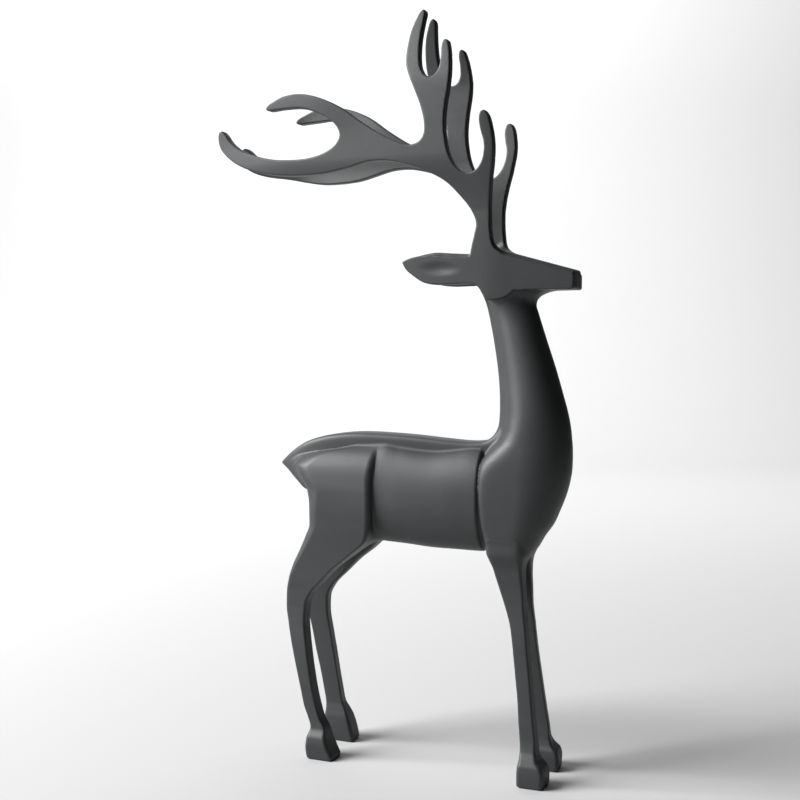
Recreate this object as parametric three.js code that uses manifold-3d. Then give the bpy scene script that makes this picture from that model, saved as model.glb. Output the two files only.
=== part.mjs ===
// Cast iron stag statue: one casting, standing on its four hooves.
// Millimetres, +Z up. The stag looks along +X, its left and right sides mirror in the plane y = 0,
// and the origin is on the ground under the middle of its overall length.

import * as THREE from 'three';
import { mergeVertices } from 'three/addons/utils/BufferGeometryUtils.js';
import Module from 'manifold-3d';

const wasm = await Module();
wasm.setup();

// Driving sizes
const LENGTH = 297;             // rearmost antler tip to the flat nose
const EAR_FACE = 22;            // half the breadth of the head at the ears and the antler feet
const NOSE_FACE = 14.5;         // half the breadth of the flat nose
const NOSE_X = LENGTH / 2;
const NOSE_TOP = 394.6;
const CHIN = 380.6;
const ANTLER_PLATE = 8;         // thickness of the antler plates
const ANTLER_EDGE = 1.2;        // the rounding along their edges
const HEAD_EDGE = 0.8;          // the rounding along the edges of the head
const FRONT_SLANT = 1.2;        // the inner front edge of a leg is this far ahead of the outer one
const EAR_RISE = 3;             // how much higher the top of the head is along its middle, behind the antlers
const BROW_RISE = 0.8;          // and ahead of them
const EAR_GAP = 14;             // inner face of an ear from the middle plane

// Facets
const NECK_RING_STEP = 12;
const BARREL_RING_STEP = 12;
const CORNER_STEPS = 2;         // facets in the rounded corner of a limb
const OVAL_FACETS = 32;         // facets round the neck and the barrel
const SPINE_FACETS = 14;
const ANTLER_DIVISIONS = 2;     // facets between two points of the antler's outline

// A smooth curve through [position, value] knots that never overshoots them.
function profile(knots) {
  const at = knots.map(([position]) => position);
  const value = knots.map(([, v]) => v);
  const last = at.length - 1;
  const chord = at.slice(1).map((p, i) => (value[i + 1] - value[i]) / (p - at[i]));
  const slope = at.map((_, i) => {
    if (i === 0) return chord[0];
    if (i === last) return chord[last - 1];
    const [before, after] = [chord[i - 1], chord[i]];
    return before * after <= 0 ? 0 : (2 * before * after) / (before + after);
  });
  return (position) => {
    const p = Math.min(Math.max(position, at[0]), at[last]);
    let i = 0;
    while (i < last - 1 && p > at[i + 1]) i += 1;
    const span = at[i + 1] - at[i];
    const t = (p - at[i]) / span;
    const start = (1 + 2 * t) * (1 - t) * (1 - t) * value[i] + t * (1 - t) * (1 - t) * span * slope[i];
    const end = t * t * (3 - 2 * t) * value[i + 1] - t * t * (1 - t) * span * slope[i + 1];
    return start + end;
  };
}

// One profile for each named column of a table of stations.
function profiles(columns, stations) {
  const result = {};
  columns.forEach((name, column) => {
    result[name] = profile(stations.map((row) => [row[0], row[column + 1]]));
  });
  return result;
}

function levels(from, to, step) {
  const count = Math.ceil((to - from) / step);
  return Array.from({ length: count + 1 }, (_, i) => from + ((to - from) * i) / count);
}

// A closed body through rings of equal length, with a flat fan at each end.
function loft(rings) {
  const around = rings[0].length;
  const points = rings.flat();
  const index = [];
  for (let r = 0; r + 1 < rings.length; r += 1) {
    for (let i = 0; i < around; i += 1) {
      const j = (i + 1) % around;
      const [a, b] = [r * around + i, r * around + j];
      index.push(a, b, b + around, a, b + around, a + around);
    }
  }
  for (const end of [0, rings.length - 1]) {
    const centre = rings[end].reduce((sum, p) => sum.add(p), new THREE.Vector3()).divideScalar(around);
    const hub = points.push(centre) - 1;
    for (let i = 0; i < around; i += 1) {
      const [a, b] = [end * around + i, end * around + ((i + 1) % around)];
      index.push(...(end === 0 ? [hub, b, a] : [hub, a, b]));
    }
  }
  const geometry = new THREE.BufferGeometry().setFromPoints(points);
  geometry.setIndex(index);
  return geometry;
}

function signedVolume(position, index) {
  const corner = (k) => new THREE.Vector3().fromArray(position, 3 * index[k]);
  let volume = 0;
  for (let t = 0; t < index.length; t += 3) {
    volume += corner(t).dot(corner(t + 1).cross(corner(t + 2))) / 6;
  }
  return volume;
}

// A closed geometry as a solid with its faces pointing out.
function solid(source) {
  const geometry = source.clone();
  geometry.deleteAttribute('normal');
  geometry.deleteAttribute('uv');
  const merged = mergeVertices(geometry, 1e-4);
  const vertProperties = new Float32Array(merged.attributes.position.array);
  const triVerts = new Uint32Array(merged.index.array);
  if (signedVolume(vertProperties, triVerts) < 0) triVerts.reverse();
  return new wasm.Manifold(new wasm.Mesh({ numProp: 3, vertProperties, triVerts }));
}

// A limb is a stack of level rings: a rectangle with its two outer corners rounded by their own radii.
function limbRing(z, limb, side) {
  const [back, front] = [limb.back(z), limb.front(z)];
  const [inner, outer] = [limb.inner(z), limb.outer(z)];
  const corners = [
    [front, outer, limb.frontRound(z), 1, 1],
    [back, outer, limb.backRound(z), -1, 1],
    [back, inner, limb.innerRound(z), -1, -1],
    [front + FRONT_SLANT, inner, limb.innerRound(z), 1, -1],
  ];
  const ring = [];
  corners.forEach(([x, y, radius, alongX, alongY], corner) => {
    for (let i = 0; i <= CORNER_STEPS; i += 1) {
      const turn = (corner + i / CORNER_STEPS) * (Math.PI / 2);
      const px = x - alongX * radius + radius * Math.cos(turn);
      const py = y - alongY * radius + radius * Math.sin(turn);
      ring.push(new THREE.Vector3(px, side * py, z));
    }
  });
  return ring;
}

function limbSolid(limb, heights, side) {
  return solid(loft(heights.map((z) => limbRing(z, limb, side))));
}

// A quarter of a superellipse: 2 is an ellipse, and more is nearer to a box.
function bulge(cosine, power) {
  return Math.sign(cosine) * Math.abs(cosine) ** (2 / power);
}

// Hind limb, haunch to hoof: height, then the rear and front edges, the inner and outer faces
// from the middle plane, and the rounding of the outer front, outer rear and inner corners.
const LIMB_COLUMNS = ['back', 'front', 'inner', 'outer', 'frontRound', 'backRound', 'innerRound'];
const HIND_STATIONS = [
  [0, -65.8, -45.4, 16.5, 33, 3, 3, 3],
  [1.5, -67, -43.8, 15.5, 34, 3, 3, 3],
  [10, -68.1, -47.4, 15, 34.2, 3, 3, 3],
  [17, -67.4, -50.2, 15.6, 33.2, 2.5, 2.5, 2.5],
  [25, -65.1, -52.6, 17.6, 29.4, 1.6, 1.6, 1.6],
  [33, -67.6, -57.2, 18, 28.6, 1.6, 1.6, 1.6],
  [42, -71.2, -60.2, 18, 28.5, 1.6, 1.6, 1.6],
  [56, -74.4, -63.6, 18, 28.5, 1.6, 1.6, 1.6],
  [72, -78.2, -66.6, 17.6, 28.2, 1.6, 1.6, 1.6],
  [92, -83, -69.8, 16.6, 27.2, 1.6, 1.6, 1.6],
  [112, -87.2, -72, 14.8, 25.6, 1.6, 1.6, 1.8],
  [124, -89, -71.4, 13.6, 25, 1.6, 2, 2],
  [134, -88.9, -67.4, 12.8, 25, 1.6, 2.5, 2.5],
  [146, -86.8, -56.4, 12, 25.8, 1.7, 3, 3],
  [158, -83, -44.2, 10.5, 26.5, 2, 5, 4],
  [170, -77.4, -29, 7.5, 27.4, 3, 7, 3],
  [182, -72.1, -16, 3, 28.6, 4.5, 9, 3],
  [192, -68.5, -12.8, -1, 29.6, 6, 10, 4],
  [206, -68.8, -11.4, -1, 30.2, 7, 11, 4],
  [220, -73, -11.2, -1, 29.6, 7, 16, 4],
  [231, -82, -10.6, -1, 28, 7, 19, 4],
  [239, -86, -9.8, -1, 26.2, 7, 20, 4],
  [245, -80, -9.2, -1, 23.6, 7, 19, 4],
  [250, -66, -8.6, -1, 20.4, 7, 13, 4],
  [254, -46, -8.2, -1, 16.4, 6, 10, 4],
  [257.5, -33, -8, -1, 12, 4, 6, 3],
  [260.5, -27, -9, -1, 8, 2, 3, 2],
];
// The left hind leg is a little broader and stands further back, with a taller hoof.
const LEFT_HIND_SHANK = [
  [0, -70.4, -49.4, 16.5, 32.6, 3, 3, 3],
  [1.5, -71.6, -48, 15.5, 33.6, 3, 3, 3],
  [10, -73, -49.6, 15, 33.8, 3, 3, 3],
  [20, -74, -52.8, 15.6, 33, 2.5, 2.5, 2.5],
  [27, -73, -56, 17, 30.4, 1.6, 1.6, 1.6],
  [33, -73.4, -58.8, 18, 28.8, 1.6, 1.6, 1.6],
  [44, -75.4, -61, 18, 28.5, 1.6, 1.6, 1.6],
  [60, -78.6, -63.9, 17.9, 28.4, 1.6, 1.6, 1.6],
  [76, -82.2, -66.4, 17.4, 28, 1.6, 1.6, 1.6],
  [92, -85, -68.9, 16.6, 27.2, 1.6, 1.6, 1.6],
  [112, -88.6, -71.2, 14.8, 25.6, 1.6, 1.6, 1.8],
  [124, -89.4, -70.4, 13.6, 25, 1.6, 2, 2],
  [134, -89.2, -65.6, 12.8, 25, 1.6, 2.5, 2.5],
  [146, -86.8, -54, 12, 25.8, 1.7, 3, 3],
  [158, -83, -41.6, 10.5, 26.5, 2, 5, 4],
  [170, -77.4, -26.6, 7.5, 27.4, 3, 7, 3],
];
const hindLimb = {
  right: profiles(LIMB_COLUMNS, HIND_STATIONS),
  left: profiles(LIMB_COLUMNS, [...LEFT_HIND_SHANK, ...HIND_STATIONS.filter(([z]) => z > 175)]),
};
const hindHeights = [0, 1.5, 10, 18, 26, 33, 43, 57, 72, 92, 112, 124, 134, 146, 158, 170, 182, 192,
  206, 220, 231, 239, 245, 250, 254, 257.5, 260.5];

// Foreleg, elbow to hoof.
const foreleg = profiles(LIMB_COLUMNS, [
  [0, 111.6, 130, 12, 30.3, 3, 3, 3],
  [1.5, 110.4, 131.2, 11, 31.3, 3, 3, 3],
  [10, 110.5, 131.6, 10.8, 31.8, 3, 3, 3],
  [15.5, 110.8, 130.4, 11.4, 31.4, 3, 3, 3],
  [20.5, 111.6, 126, 13.2, 29, 2.2, 2.4, 2.2],
  [26.5, 111.6, 123.9, 14.2, 25.4, 1.8, 1.8, 1.8],
  [35, 111, 123.1, 14.2, 23.4, 1.6, 1.6, 1.6],
  [48, 109.6, 121.3, 13.2, 22.2, 1.6, 1.6, 1.6],
  [65, 108.1, 119.2, 11.4, 20.3, 1.6, 1.6, 1.6],
  [81, 105.9, 117.3, 9.5, 18.5, 1.6, 1.6, 1.6],
  [100, 103.5, 114.9, 7.9, 17, 1.6, 1.6, 1.6],
  [119, 100.9, 113, 6.8, 16, 1.6, 1.6, 1.6],
  [135, 96.6, 111.2, 6.2, 15.5, 1.6, 1.6, 1.6],
  [147, 92.5, 110.8, 5.8, 16, 1.6, 2, 2],
  [160, 88.6, 110, 5.2, 17.5, 2, 2, 2.2],
  [170, 86, 110, 3.5, 19.4, 3, 2, 2.5],
  [176, 84.6, 110.6, -1, 21, 4, 2, 2.5],
  [188, 82, 113, -1, 24, 6, 3, 3],
]);
const foreHeights = [0, 1.5, 10, 15.5, 20.5, 26.5, 35, 48, 65, 81, 100, 119, 135, 147, 160, 170, 176, 188];

// Shoulder, chest and neck: height, then the rear and front edges, where the section is broadest,
// half its breadth, and how square it is behind and in front.
const NECK_COLUMNS = ['rear', 'front', 'broadest', 'half', 'rearPower', 'frontPower'];
const neck = profiles(NECK_COLUMNS, [
  [173, 85, 112.5, 99, 20, 7, 3],
  [178, 82.8, 116.4, 100, 21.6, 7, 2.6],
  [190, 80, 123.7, 102, 24.5, 8, 2.3],
  [200, 78.6, 130.8, 104, 25.9, 9, 2.2],
  [212, 77.5, 136.2, 106, 27.1, 9, 2.1],
  [228, 76.7, 141.8, 107, 27.6, 9, 2.1],
  [240, 76.4, 144.3, 108, 27.6, 8, 2.1],
  [250, 77, 145, 109, 27.2, 5, 2.1],
  [256, 81.5, 145.1, 110, 26.8, 3.4, 2.1],
  [262, 88, 144.8, 111, 26.3, 2.6, 2.1],
  [272, 93, 143.8, 112, 25.4, 2.2, 2.1],
  [285, 93, 141.5, 113, 24, 2.1, 2.1],
  [302, 92, 136.8, 112, 22, 2.1, 2.1],
  [321, 89.8, 131.2, 109, 19.9, 2.1, 2.1],
  [346, 85.6, 122.8, 103, 17.6, 2.1, 2.2],
  [362, 82, 117.9, 99, 16.4, 2.1, 2.3],
  [369, 80.2, 116, 97.5, 16.4, 2.1, 2.4],
  [374, 78.6, 117, 97, 18, 2.1, 2.6],
  [378, 76, 120.5, 97, 18.8, 2.1, 2.8],
  [383, 73, 130, 97, 18, 2.1, 3],
]);

// Barrel: distance along the body, then its underside, the height where it is broadest, its top
// under the spine, and half its breadth. The last stations turn in to the crease behind the shoulder.
const BARREL_COLUMNS = ['under', 'broadest', 'top', 'half'];
const barrel = profiles(BARREL_COLUMNS, [
  [-64, 199, 222, 251, 17],
  [-40, 186, 218, 257.9, 23.5],
  [-22, 179.3, 216, 261.4, 24.4],
  [-6, 178.2, 215.5, 262.4, 25],
  [8, 177.6, 215, 259.6, 26],
  [37, 175.7, 214, 256.6, 27.2],
  [55, 175.6, 213.5, 258.1, 27.6],
  [69, 175.4, 213.5, 259.4, 27.6],
  [73, 175.8, 213.5, 258.4, 27.2],
  [76.6, 177.5, 213.5, 255, 24.4],
  [88, 182, 213.5, 249, 21],
]);
const LOWER_POWER = 2.1;
const UPPER_POWER = 2.3;

// Spine: the ridge from the tail tip over the back and up the nape. Each station has a point on the
// crest, one inside the body under it, and half its breadth.
const spineStations = [
  [-105, 239.2, -104.2, 238.3, 0.8],
  [-99, 244.6, -97, 233.4, 3.4],
  [-90, 251.4, -89, 226.2, 6.6],
  [-78, 258.2, -79, 220, 9.6],
  [-62, 263.2, -64, 231, 11.8],
  [-45, 266, -46, 243, 12.6],
  [-27, 267.1, -27, 245, 12.8],
  [12, 266, 12, 245, 12.2],
  [45, 263.5, 45, 242, 11.6],
  [62, 262.5, 66, 241, 11.2],
  [71, 262.8, 82, 243, 11],
  [78.8, 264.2, 92, 249, 10.8],
  [84, 268.2, 100, 258, 10.5],
  [86.8, 274.6, 105, 269, 10.2],
  [87.8, 283, 107, 280, 10],
  [87.7, 302, 107, 302, 9.4],
  [86, 321, 104, 323, 8.8],
  [81.8, 346, 98, 350, 8],
  [75.6, 371, 90, 377, 7],
  [69.6, 384, 82, 391, 6],
];
const SPINE_POWER = 2.5;
const SPINE_RINGS = 36;

// Head and ears, seen from the side: the ears run straight back in line with the muzzle.
const EAR_LENGTH_TOP = [[12.9, 403.4], [19, 405.8], [28, 407.8], [40, 409.1], [54, 408.2], [68, 407.4]];
const BROW = [[86, 412.3], [94, 409.8]];
const JAW = [[103.5, 380.4], [99.5, 376.8], [96, 374.6], [92, 373.7], [82, 373.2], [79.6, 377.6],
  [76.4, 382], [72, 385.2]];
const EAR_LENGTH_UNDER = [[58, 385.3], [43.6, 385.1], [32, 386.6], [23.9, 391.1], [15.8, 397.9]];

// Antler plate, seen from the side: front of the foot, brow tine, upright tines, the long swept
// beam with its upper tine, and back along the underside to the foot.
const ANTLER_OUTLINE = [
  [89.2, 398], [86.6, 414], [84.9, 432], [85.3, 449], [87.2, 464], [89.6, 477],
  [90.7, 490], [89.6, 502], [87.6, 510.6], [85, 514.2], [82, 513.6], [80.3, 508.6], [81, 500.6], [83, 492.4],
  [82.9, 485], [80.6, 477.4], [75.6, 471.4], [69.3, 469.4], [63.5, 471.2], [58.6, 476.3], [54.2, 485],
  [51.7, 496], [50.7, 508], [51.8, 522], [53.9, 534], [55, 546], [54.2, 557], [52.6, 566.4],
  [50.4, 572.4], [47.8, 572.8], [46.2, 568], [46.6, 559], [45.7, 550.4], [42.8, 545.6],
  [38.6, 543.8], [34.6, 545.6],
  [30.6, 552], [28.5, 564], [28.1, 578], [28.9, 590], [29.2, 597.4], [27.8, 599.6], [25.2, 598],
  [22.4, 592], [19.4, 582],
  [17.9, 568], [18.4, 555], [22, 545], [27.2, 533], [31.8, 521], [34.4, 509], [33.9, 500.6],
  [30.6, 495.6], [25.2, 493.2], [19, 493.5], [11, 496.5], [-2.5, 503.2], [-18.5, 513.3], [-35, 525],
  [-54, 534.2], [-70, 538.1], [-85, 537.4], [-95, 533.6], [-100.4, 530.6], [-101.6, 528], [-99, 526.6],
  [-92, 526.9], [-84, 527.2], [-70, 526.8], [-60, 524], [-47.5, 518], [-39.4, 510.8], [-37, 503.8],
  [-40.4, 497.2], [-50.4, 490.9], [-66, 487.2], [-86, 487], [-101, 488.8], [-115, 492.6],
  [-127, 497.4], [-136, 504.2], [-141.2, 511], [-144.4, 513.9], [-147, 513], [-148.2, 508], [-146.2, 499.6],
  [-137, 490], [-122, 481.8], [-100.4, 476.2], [-76, 474], [-51, 474.6], [-29, 478.2],
  [-14, 481.6], [0, 482.1], [11.4, 480.2], [24.6, 476.4], [36.8, 471.6], [50.4, 464], [61.4, 452.9],
  [69.9, 441.8], [73.9, 431.8], [72.6, 424], [70.2, 414], [69, 406], [69.4, 400],
];

// How far the outer face of an antler stands from the middle plane: it leaves the head flush with
// the ears, leans out, and curls back in towards the upright tips and the rearmost tip.
const LEAN = { from: 438, to: 486, by: 8.5 };
const BROW_SPLAY = { from: 478, to: 516, by: 6.5, behindX: 66, aheadX: 80 };
const TOP_CURL = { from: 543, to: 600, by: { left: 15, right: 17.5 } };
const BACK_SPLAY = { from: 495, to: 535, by: 2, atX: -60 };
const TIP_CURL = { fromX: -95, toX: -148, by: { left: 14, right: 3 } };
// How much lower the left antler is than the right one, for its tips, beam and upper forks
const LEFT_SAG = { rearTip: 10, rearBend: -1.2, upperTine: 1.8, beam: 1.2, crest: -1.4, uprights: -2.5 };
const LEFT_BROW_LEAD = 1.2;     // the left brow tine stands this much further forward
const FOOT_SINK = 0.6;          // the foot of an antler ends this far inside the side of the head

function ramp(from, to, value) {
  return THREE.MathUtils.clamp((value - from) / (to - from), 0, 1);
}

function smooth(from, to, value) {
  const t = ramp(from, to, value);
  return t * t * (3 - 2 * t);
}

function headBreadth(x) {
  return THREE.MathUtils.lerp(EAR_FACE, NOSE_FACE, ramp(BROW[0][0], NOSE_X, x));
}

function antlerFace(x, z, face) {
  const lean = LEAN.by * smooth(LEAN.from, LEAN.to, z);
  const brow = BROW_SPLAY.by * ramp(BROW_SPLAY.from, BROW_SPLAY.to, z)
    * smooth(BROW_SPLAY.behindX, BROW_SPLAY.aheadX, x);
  const topCurl = face > 0 ? TOP_CURL.by.left : TOP_CURL.by.right;
  const top = topCurl * ramp(TOP_CURL.from, TOP_CURL.to, z) ** 1.15;
  const back = BACK_SPLAY.by * smooth(BACK_SPLAY.from, BACK_SPLAY.to, z) * smooth(0, BACK_SPLAY.atX, x);
  const curl = face > 0 ? TIP_CURL.by.left : TIP_CURL.by.right;
  const tip = curl * ramp(TIP_CURL.fromX, TIP_CURL.toX, x);
  const foot = headBreadth(x) - FOOT_SINK * (1 - smooth(408, 416, z));
  return foot + lean + brow - top + back - tip;
}

function leftSag(x, z) {
  const rearTip = LEFT_SAG.rearTip * ramp(-114, -148, x);
  const rearBend = LEFT_SAG.rearBend * smooth(-84, -106, x) * smooth(510, 500, z);
  const upperTine = LEFT_SAG.upperTine * smooth(-55, -92, x) * smooth(504, 520, z);
  const beam = LEFT_SAG.beam * smooth(-22, -45, x) * smooth(-92, -72, x) * smooth(500, 490, z);
  const crest = LEFT_SAG.crest * smooth(-62, -36, x) * smooth(18, 5, x) * smooth(488, 500, z);
  const uprights = LEFT_SAG.uprights * smooth(5, 20, x) * smooth(60, 50, x) * smooth(515, 545, z)
    * (1 - 2 * ramp(545, 600, z));
  return rearTip + rearBend + upperTine + beam + crest + uprights;
}

function buildNeck() {
  const ringAt = (z) => Array.from({ length: OVAL_FACETS }, (_, i) => {
    const turn = (2 * Math.PI * i) / OVAL_FACETS;
    const ahead = Math.cos(turn) > 0;
    const power = ahead ? neck.frontPower(z) : neck.rearPower(z);
    const reach = ahead ? neck.front(z) - neck.broadest(z) : neck.broadest(z) - neck.rear(z);
    const x = neck.broadest(z) + reach * bulge(Math.cos(turn), power);
    return new THREE.Vector3(x, neck.half(z) * bulge(Math.sin(turn), power), z);
  });
  const heights = [
    173, 178, ...levels(190, 250, 10), 256,
    ...levels(262, 362, NECK_RING_STEP), 369, 374, 378, 383,
  ];
  return solid(loft(heights.map(ringAt)));
}

function buildBarrel() {
  const ringAt = (x) => Array.from({ length: OVAL_FACETS }, (_, i) => {
    const turn = (2 * Math.PI * i) / OVAL_FACETS;
    const above = Math.sin(turn) > 0;
    const power = above ? UPPER_POWER : LOWER_POWER;
    const middle = barrel.broadest(x);
    const reach = above ? barrel.top(x) - middle : middle - barrel.under(x);
    return new THREE.Vector3(x, barrel.half(x) * bulge(Math.cos(turn), power),
      middle + reach * bulge(Math.sin(turn), power));
  });
  const stations = [...levels(-64, 69, BARREL_RING_STEP), 71.5, 74, 76.6, 88];
  return solid(loft(stations.map(ringAt)));
}

function buildSpine() {
  const crest = new THREE.CatmullRomCurve3(
    spineStations.map(([x, z]) => new THREE.Vector3(x, 0, z)), false, 'centripetal');
  const root = new THREE.CatmullRomCurve3(
    spineStations.map(([, , x, z]) => new THREE.Vector3(x, 0, z)), false, 'centripetal');
  const half = profile(spineStations.map((row, i) => [i / (spineStations.length - 1), row[4]]));
  const rings = Array.from({ length: SPINE_RINGS + 1 }, (_, r) => {
    const t = r / SPINE_RINGS;
    const top = crest.getPoint(t);
    const bottom = root.getPoint(t);
    const centre = top.clone().lerp(bottom, 0.5);
    const up = top.clone().sub(centre);
    return Array.from({ length: SPINE_FACETS }, (_unused, i) => {
      const turn = (2 * Math.PI * i) / SPINE_FACETS;
      const point = centre.clone().addScaledVector(up, bulge(Math.sin(turn), SPINE_POWER));
      point.y = half(t) * bulge(Math.cos(turn), SPINE_POWER);
      return point;
    });
  });
  return solid(loft(rings));
}

// Extrudes a side view across the whole breadth of the head, narrows it towards the nose and
// raises the top along the middle.
function buildHead() {
  const side = new THREE.Shape();
  const toVectors = (points) => points.map(([x, z]) => new THREE.Vector2(x, z));
  side.moveTo(...EAR_LENGTH_TOP[0]);
  side.splineThru(toVectors(EAR_LENGTH_TOP.slice(1)));
  toVectors(BROW).forEach((p) => side.lineTo(p.x, p.y));
  side.lineTo(NOSE_X, NOSE_TOP);
  side.lineTo(NOSE_X, CHIN);
  side.lineTo(...JAW[0]);
  side.splineThru(toVectors([...JAW.slice(1), ...EAR_LENGTH_UNDER, EAR_LENGTH_TOP[0]]));
  const geometry = new THREE.ExtrudeGeometry(side, {
    depth: 2 * (EAR_FACE - HEAD_EDGE),
    steps: 2,
    curveSegments: 1,
    bevelSize: HEAD_EDGE,
    bevelOffset: -HEAD_EDGE,
    bevelThickness: HEAD_EDGE,
    bevelSegments: 1,
  });
  const position = geometry.attributes.position;
  for (let i = 0; i < position.count; i += 1) {
    const [x, z] = [position.getX(i), position.getY(i)];
    const across = position.getZ(i) - (EAR_FACE - HEAD_EDGE);
    const ridge = THREE.MathUtils.lerp(EAR_RISE, BROW_RISE, smooth(64, 78, x)) * smooth(390, 403, z);
    const rise = Math.abs(across) < 1 ? ridge : 0;
    position.setXYZ(i, x, (across * headBreadth(x)) / EAR_FACE, z + rise);
  }
  let head = solid(geometry).subtract(buildEarGap());
  for (const face of [-1, 1]) head = head.subtract(buildEarHollow(face));
  return head;
}

// The space between the ears, closed in front by the back of the head.
function buildEarGap() {
  const [tipX, headX] = [5, 70];
  const plan = new THREE.Shape();
  plan.moveTo(tipX, EAR_GAP + 3.5);
  plan.quadraticCurveTo(35, EAR_GAP - 1, 62, EAR_GAP);
  plan.quadraticCurveTo(headX, EAR_GAP, headX, 0);
  plan.quadraticCurveTo(headX, -EAR_GAP, 62, -EAR_GAP);
  plan.quadraticCurveTo(35, 1 - EAR_GAP, tipX, -EAR_GAP - 3.5);
  const geometry = new THREE.ExtrudeGeometry(plan, { depth: 50, bevelEnabled: false, curveSegments: 5 });
  geometry.translate(0, 0, 372);
  return solid(geometry);
}

function buildEarHollow(face) {
  const geometry = new THREE.SphereGeometry(1, 16, 10);
  geometry.scale(13.4, 4.4, 4.8);
  geometry.rotateY(0.06);
  geometry.translate(44.5, face * (EAR_FACE + 1.4), 397.5);
  return solid(geometry);
}

// Extrudes the outline to the plate's thickness and bends the plate outwards as a sheet would bend.
function buildAntler(face) {
  const curve = new THREE.CatmullRomCurve3(
    ANTLER_OUTLINE.map(([x, z]) => new THREE.Vector3(x, z, 0)), true, 'centripetal');
  const points = curve.getPoints(ANTLER_OUTLINE.length * ANTLER_DIVISIONS).slice(0, -1);
  const outline = new THREE.Shape(points.map((p) => new THREE.Vector2(p.x, p.y)));
  const geometry = new THREE.ExtrudeGeometry(outline, {
    depth: ANTLER_PLATE - 2 * ANTLER_EDGE,
    bevelSize: ANTLER_EDGE,
    bevelOffset: -ANTLER_EDGE,
    bevelThickness: ANTLER_EDGE,
    bevelSegments: 1,
  });
  const position = geometry.attributes.position;
  for (let i = 0; i < position.count; i += 1) {
    const [x, z] = [position.getX(i), position.getY(i)];
    const depth = position.getZ(i) + ANTLER_EDGE;
    const drop = face > 0 ? leftSag(x, z) : 0;
    const lead = face > 0 ? LEFT_BROW_LEAD * smooth(70, 80, x) * smooth(478, 500, z) : 0;
    position.setXYZ(i, x + lead, face * (antlerFace(x, z, face) - ANTLER_PLATE + depth), z - drop);
  }
  return solid(geometry);
}

function buildStag() {
  let body = buildNeck().add(buildBarrel());
  for (const face of [-1, 1]) {
    const hind = face > 0 ? hindLimb.left : hindLimb.right;
    body = body.add(limbSolid(hind, hindHeights, face)).add(limbSolid(foreleg, foreHeights, face));
  }
  body = body.add(buildSpine()).add(buildHead());
  for (const face of [-1, 1]) body = body.add(buildAntler(face));
  const mesh = body.getMesh();
  const geometry = new THREE.BufferGeometry();
  geometry.setAttribute('position', new THREE.BufferAttribute(new Float32Array(mesh.vertProperties), 3));
  geometry.setIndex(new THREE.BufferAttribute(new Uint32Array(mesh.triVerts), 1));
  return geometry;
}

const coatedIron = new THREE.MeshStandardMaterial({ color: 0x3a3d3e, roughness: 0.62, metalness: 0.35 });
const stag = new THREE.Mesh(buildStag(), coatedIron);
stag.name = 'stag';

const statue = new THREE.Group();
statue.add(stag);

export default statue;
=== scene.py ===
# Cast iron stag statue: its finished surface, coat, floor, light and camera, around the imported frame.
# The carving code works in millimetres, with +X the way the stag looks, +Y its left and +Z up.
import math

import bpy
import numpy as np
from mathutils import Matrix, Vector


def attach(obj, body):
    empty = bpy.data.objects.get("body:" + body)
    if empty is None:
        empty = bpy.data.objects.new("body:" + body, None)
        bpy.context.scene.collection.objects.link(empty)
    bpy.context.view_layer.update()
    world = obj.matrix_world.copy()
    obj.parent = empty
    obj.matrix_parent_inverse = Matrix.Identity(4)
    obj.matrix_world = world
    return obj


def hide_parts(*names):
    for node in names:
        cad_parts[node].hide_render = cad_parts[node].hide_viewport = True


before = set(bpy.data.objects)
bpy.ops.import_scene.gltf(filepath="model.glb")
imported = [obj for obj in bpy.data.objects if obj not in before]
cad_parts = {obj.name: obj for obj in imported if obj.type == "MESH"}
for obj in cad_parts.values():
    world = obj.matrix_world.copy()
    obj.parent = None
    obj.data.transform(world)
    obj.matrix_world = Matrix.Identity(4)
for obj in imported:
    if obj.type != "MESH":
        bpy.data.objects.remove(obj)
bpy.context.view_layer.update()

MM = 0.001

# Sizes of the statue
LENGTH = 297.0
NOSE_X = LENGTH / 2
EAR_FACE = 22.0         # half the breadth of the head at the ears and the antler feet
NOSE_FACE = 14.5        # half the breadth of the flat nose
NOSE_TOP = 394.6
CHIN = 380.6
BROW_X = 86.0           # the head narrows from here to the nose
HEAD_RIM = 4.4          # the outer part of the head's breadth has a lower top, with a small step to it
EAR_RISE = 1.1          # how much the top inside the step rises over the side view, at the ears
BROW_RISE = 0.6         # and ahead of the antlers
EAR_STEP = 1.5          # how much the outer part lies below the side view, at the ears
BROW_STEP = 1.9         # and ahead of the antlers
EAR_GAP = 14.0          # inner face of an ear from the middle plane
EAR_GAP_END = 70.0
ANTLER_PLATE = 8.0
ANTLER_EDGE = 1.1
ANTLER_SPREAD = 8.5     # how far the antlers lean out above their feet
BROW_TINE_SPREAD = 6.5  # how much further out the brow tines turn
BEAM_SPREAD = 2.0       # and the upper side of the swept beam
TOP_CURL = {"left": 15.0, "right": 17.5}    # how far the upright tines turn in at their tips
TIP_CURL = {"left": 14.0, "right": 3.0}     # and the rear tips of the beam
LEFT_BROW_LEAD = 1.2    # the left brow tine stands this much further forward
HEAD_EDGE = 0.6
NOSE_CORNER = 2.0       # how far the rounding of the nose's corners reaches, seen from the side
EAR_GAP_ROUND = 9.0     # rounding of the closed end of the gap between the ears
EAR_TIP_FLARE = 3.5     # the inner face of an ear turns out by this much at its tip
EAR_SWELL = 1.0         # and is this much fuller along its middle
FRONT_SLANT = 1.2       # the inner front edge of a leg is this far ahead of the outer one
HAUNCH_TOP = 260.5
ELBOW_TOP = 188.0
SHANK_TOP = 175.0       # above this height both hind legs are alike
CHEST_UNDER = 173.5     # underside of the chest between the forelegs
CHEST_ROUND = 9.0
NECK_TOP = 383.0        # the neck ends here, inside the head
BARREL_REAR = -64.0     # ends of the barrel, inside the haunches and the shoulder
BARREL_FRONT = 88.0

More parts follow.
